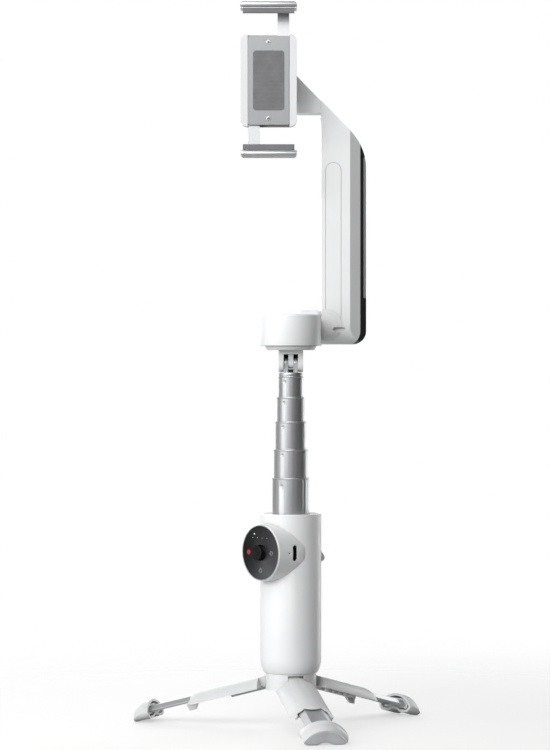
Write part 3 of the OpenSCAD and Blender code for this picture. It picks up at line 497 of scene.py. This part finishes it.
def stick_knurl():
    """Grip ridges round the joystick's cap, and four pips on it."""
    form = bmesh.new()
    ridges, pips = 30, 4
    inner, outer, low, high = 4.1, 4.36, 1.75, 2.95
    pip_out = 2.5
    for k in range(ridges):
        spin = PLACED @ Matrix.Rotation(2 * math.pi * k / ridges, 4, "Z")
        prism(form, [(inner, -0.2), (outer, -0.1), (outer, 0.1), (inner, 0.2)], low, high, spin)
    for k in range(pips):
        spin = PLACED @ Matrix.Rotation(2 * math.pi * k / pips, 4, "Z")
        turned(form, [(0, 2.9), (0.42, 2.9), (0.42, 3.28), (0.25, 3.42), (0, 3.45)],
               spin @ Matrix.Translation((pip_out * MM, 0, 0)), 20)
    piece("stick_knurl", form, SPECIAL["joystick"], "stick")


def usb_contacts():
    """Contact strips on the socket's tongue."""
    form = bmesh.new()
    behind_mouth, pitch, half_width = 3.3, 0.5, 0.14
    tongue_face, strip_face = 0.33, 0.39
    out = (reach("usb_port", POD_OUT) - reach("usb_port", -POD_OUT)) / 2
    mouth = reach("usb_port", POD_RIGHT)
    centre = POD_OUT * out + POD_RIGHT * (mouth - behind_mouth * MM) + Vector((0, 0, POD_Z))
    turn = Matrix.Translation(centre) @ POD_TURN
    for side in (-1, 1):
        for k in range(-5, 6):
            prism(form, box_outline(-1.2, pitch * k - half_width, 1.3, pitch * k + half_width),
                  *sorted((side * tongue_face, side * strip_face)), turn)
    piece("usb_contacts", form, MATERIALS["gear_brass"], "base", 0.01)


def socket_thread():
    """The tripod socket's screw thread, one ridge wound up the bore."""
    form = bmesh.new()
    turns, pitch, sides, bore = 6, 1.27, 40, 2.62
    crest, start_z = bore - 0.27, 0.7
    section = [(bore, -0.5), (crest, -0.08), (crest, 0.08), (bore, 0.5)]
    rings = []
    for k in range(turns * sides + 1):
        angle = 2 * math.pi * k / sides
        z = start_z + pitch * k / sides
        rings.append([form.verts.new(Vector((r * math.cos(angle), r * math.sin(angle), z + h)) * MM)
                      for r, h in section])
    for below, above in zip(rings, rings[1:]):
        for k in range(len(section)):
            form.faces.new((below[k - 1], below[k], above[k], above[k - 1]))
    form.faces.new(rings[0])
    form.faces.new(rings[-1][::-1])
    piece("socket_thread", form, MATERIALS["polished_steel"], "base", 0.01)


def screws(name, spots, body, head=1.5, rise=0.12):
    """Cross-head screws: each spot is a matrix whose +Z points out of the surface."""
    sunk, proud = -0.1, 0.01
    heads = bmesh.new()
    crosses = bmesh.new()
    for spot in spots:
        turned(heads, [(0, -0.3), (head, -0.3), (head, rise * 0.6), (head * 0.86, rise), (0, rise)], spot, 32)
        long, wide = head * 0.55, head * 0.13
        # Painted shade: each cross is a black prism on the head where the cross recess lies in shadow
        prism(crosses, [(long, -wide), (long, wide), (wide, wide), (wide, long), (-wide, long), (-wide, wide),
                        (-long, wide), (-long, -wide), (-wide, -wide), (-wide, -long), (wide, -long),
                        (wide, -wide)], sunk, rise + proud, spot)
    piece(f"{name}_heads", heads, SCREW, body, 0.03)
    piece(f"{name}_crosses", crosses, PAINTED_SHADE_BLACK, body, 0.005)


def jaw_pads():
    """The jaws' ribbed rubber pads, which stand for the plain ones."""
    for name, side, body in (("upper_pad", 1, "jaw_top"), ("lower_pad", -1, "jaw_bottom")):
        low, high = (Vector(c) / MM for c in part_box(name))
        back, face = (high.z, low.z + 1) if side > 0 else (low.z, high.z - 1)
        lip = face - side
        rib, gap, draft, margin, last = 0.75, 0.45, 0.08, 0.5, 2.4
        groove = face + side * 0.35
        outline = [(high.y, back), (high.y, groove)]
        y = high.y - margin
        while y - rib > low.y + last:
            outline += [(y, groove), (y - draft, face), (y - rib + draft, face), (y - rib, groove)]
            y -= rib + gap
        outline += [(low.y + 1.9, groove), (low.y + 1.6, face), (low.y + 1.45, lip),
                    (low.y + 0.25, lip), (low.y, lip + side * 0.3), (low.y, back)]
        form = bmesh.new()
        # the outline lies in Y and Z, and the pad runs along X
        turn = Matrix(((0, 0, 1, 0), (1, 0, 0, 0), (0, 1, 0, 0), (0, 0, 0, 1)))
        prism(form, outline, low.x, high.x, turn)
        obj = piece(f"{name}_ribbed", form, MATERIALS["grey_rubber"], body, 0.12)
        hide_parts(name)


def clamp_face():
    """Thin rubber pad with cross ribs on the clamp's cover, and the cover's two screws."""
    low, high = (Vector(c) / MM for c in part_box("clamp_cover"))
    centre = (low + high) / 2
    facing = Matrix(((1, 0, 0, 0), (0, 0, -1, 0), (0, 1, 0, 0), (0, 0, 0, 1)))
    spot = Matrix.Translation(Vector((centre.x, low.y, centre.z)) * MM) @ facing
    half_w, half_h, corner = 9.2, 17.5, 2.0
    rows, row_pitch, row_half, row_r = 13, 2.4, 7.48, 0.55
    screw_y = 22.3
    form = bmesh.new()
    outline = []
    for x, y, first in ((1, -1, -90), (1, 1, 0), (-1, 1, 90), (-1, -1, 180)):
        outline += [(x * (half_w - corner) + u, y * (half_h - corner) + v)
                    for u, v in arc(corner, first, first + 90, 8)]
    prism(form, outline, -0.4, 0.06, spot)
    for k in range(rows):
        y = (k - (rows - 1) / 2) * row_pitch
        left = [(u - row_half, y + v) for u, v in arc(row_r, 90, 270, 8)]
        right = [(u + row_half, y + v) for u, v in arc(row_r, -90, 90, 8)]
        prism(form, left + right, 0, 0.14, spot)
    piece("clamp_pad", form, MATERIALS["grey_rubber"], "clamp", 0.03)
    screws("clamp_screws", [spot @ Matrix.Translation((0, side * screw_y * MM, 0)) for side in (-1, 1)],
           "clamp", 1.3, 0.1)


def hub_screws():
    """Three screws in the hub's underside, between the legs."""
    circle_r = 10.8
    spots = []
    for i in (1, 2, 3):
        side = Vector(JOINTS[f"leg_{i}_fold"]["axis"])
        away = Vector((-side.y, side.x, 0)).normalized() * circle_r * MM
        spots.append(Matrix.Translation(Matrix.Rotation(math.pi / 3, 4, "Z") @ away)
                     @ Matrix.Rotation(math.pi, 4, "X"))
    screws("hub_screws", spots, "base", 1.5, 0.08)


disc_marks()
hinge_painted_shade()
stick_knurl()
usb_contacts()
socket_thread()
jaw_pads()
clamp_face()
hub_screws()

# ---- Floor, light and camera ----

# The eye, in metres, and the lens's focal length, in millimetres
EYE = Vector((-0.0093, -1.75, 0.1846))
LENS = 142.8


def floor():
    """Pale floor that fades into the white surround."""
    radius = 1.3
    fade_from, fade_to = 0.1, 0.62
    under_feet = 0.02 * MM
    mesh = bpy.data.meshes.new("floor")
    form = bmesh.new()
    bmesh.ops.create_circle(form, cap_ends=True, radius=radius, segments=96)
    form.to_mesh(mesh)
    form.free()
    obj = bpy.data.objects.new("floor", mesh)
    obj.location.z = FLOOR_Z - under_feet
    bpy.context.scene.collection.objects.link(obj)
    mat, tree, shader, place = start("floor", (0.86, 0.86, 0.86), 0.6)
    away = node(tree, "ShaderNodeVectorMath", {0: place}, operation="LENGTH").outputs["Value"]
    fade = spread(tree, away, 0.5, 1, (fade_from, fade_to), "SMOOTHSTEP")
    clear = node(tree, "ShaderNodeBsdfTransparent")
    mixed = node(tree, "ShaderNodeMixShader", {0: fade, 1: shader.outputs[0], 2: clear.outputs[0]})
    tree.links.new(mixed.outputs[0], tree.nodes["Material Output"].inputs["Surface"])
    mesh.materials.append(mat)


def softbox(name, place, target, size, power):
    """A rectangular area light that faces a target and isn't seen itself."""
    data = bpy.data.lights.new(name, "AREA")
    data.shape = "RECTANGLE"
    data.size, data.size_y = size
    data.energy = power
    obj = bpy.data.objects.new(name, data)
    obj.location = place
    obj.rotation_euler = (Vector(target) - Vector(place)).to_track_quat("-Z", "Y").to_euler()
    obj.visible_camera = False
    bpy.context.scene.collection.objects.link(obj)


def surround():
    """White to the eye, and a dimmer fill, brighter from the left, for the light that reaches the object."""
    world = bpy.data.worlds.new("surround")
    bpy.context.scene.world = world
    world.use_nodes = True
    tree = world.node_tree
    back = tree.nodes["Background"]
    seen = node(tree, "ShaderNodeLightPath").outputs["Is Camera Ray"]
    place = node(tree, "ShaderNodeTexCoord").outputs["Generated"]
    side = node(tree, "ShaderNodeSeparateXYZ", {0: place}).outputs["X"]
    left_fill, right_fill = 0.38, 0.07
    fill = spread(tree, side, left_fill, right_fill, (-0.9, 0.7))
    level = node(tree, "ShaderNodeMix", {"Factor": seen, 2: fill, 3: 1.0}).outputs[0]
    tree.links.new(level, back.inputs["Strength"])
    back.inputs["Color"].default_value = (1, 1, 1, 1)


def camera():
    """The photograph's viewpoint: level, facing +Y."""
    data = bpy.data.cameras.new("camera")
    data.lens = LENS
    obj = bpy.data.objects.new("camera", data)
    obj.location = EYE
    obj.rotation_euler = (math.pi / 2, 0, 0)
    bpy.context.scene.collection.objects.link(obj)
    bpy.context.scene.camera = obj


middle = (cad_lo + cad_hi) / 2
floor()
# Each light's place, target and size in metres, and its power in watts
softbox("key_left", (-1.13, -0.75, 0.40), middle + Vector((0, 0, 0.05)), (1.1, 1.2), 9.9)
softbox("top", (-0.25, -0.15, 1.35), middle, (1.1, 1.1), 2.4)
softbox("upper_front", (-0.55, -1.3, 0.7), middle + Vector((0.03, 0, 0.1)), (0.7, 0.6), 7.5)
softbox("head_front", (-0.1, -0.55, 0.72), middle + Vector((0.03, 0, 0.14)), (0.4, 0.4), 2.2)
softbox("rim_right", (0.85, 0.95, 0.3), middle, (0.5, 1.3), 8)
softbox("back", (-0.45, 1.5, 0.55), middle, (1.2, 1.0), 11)
surround()
camera()
bpy.context.scene.view_settings.view_transform = "Standard"
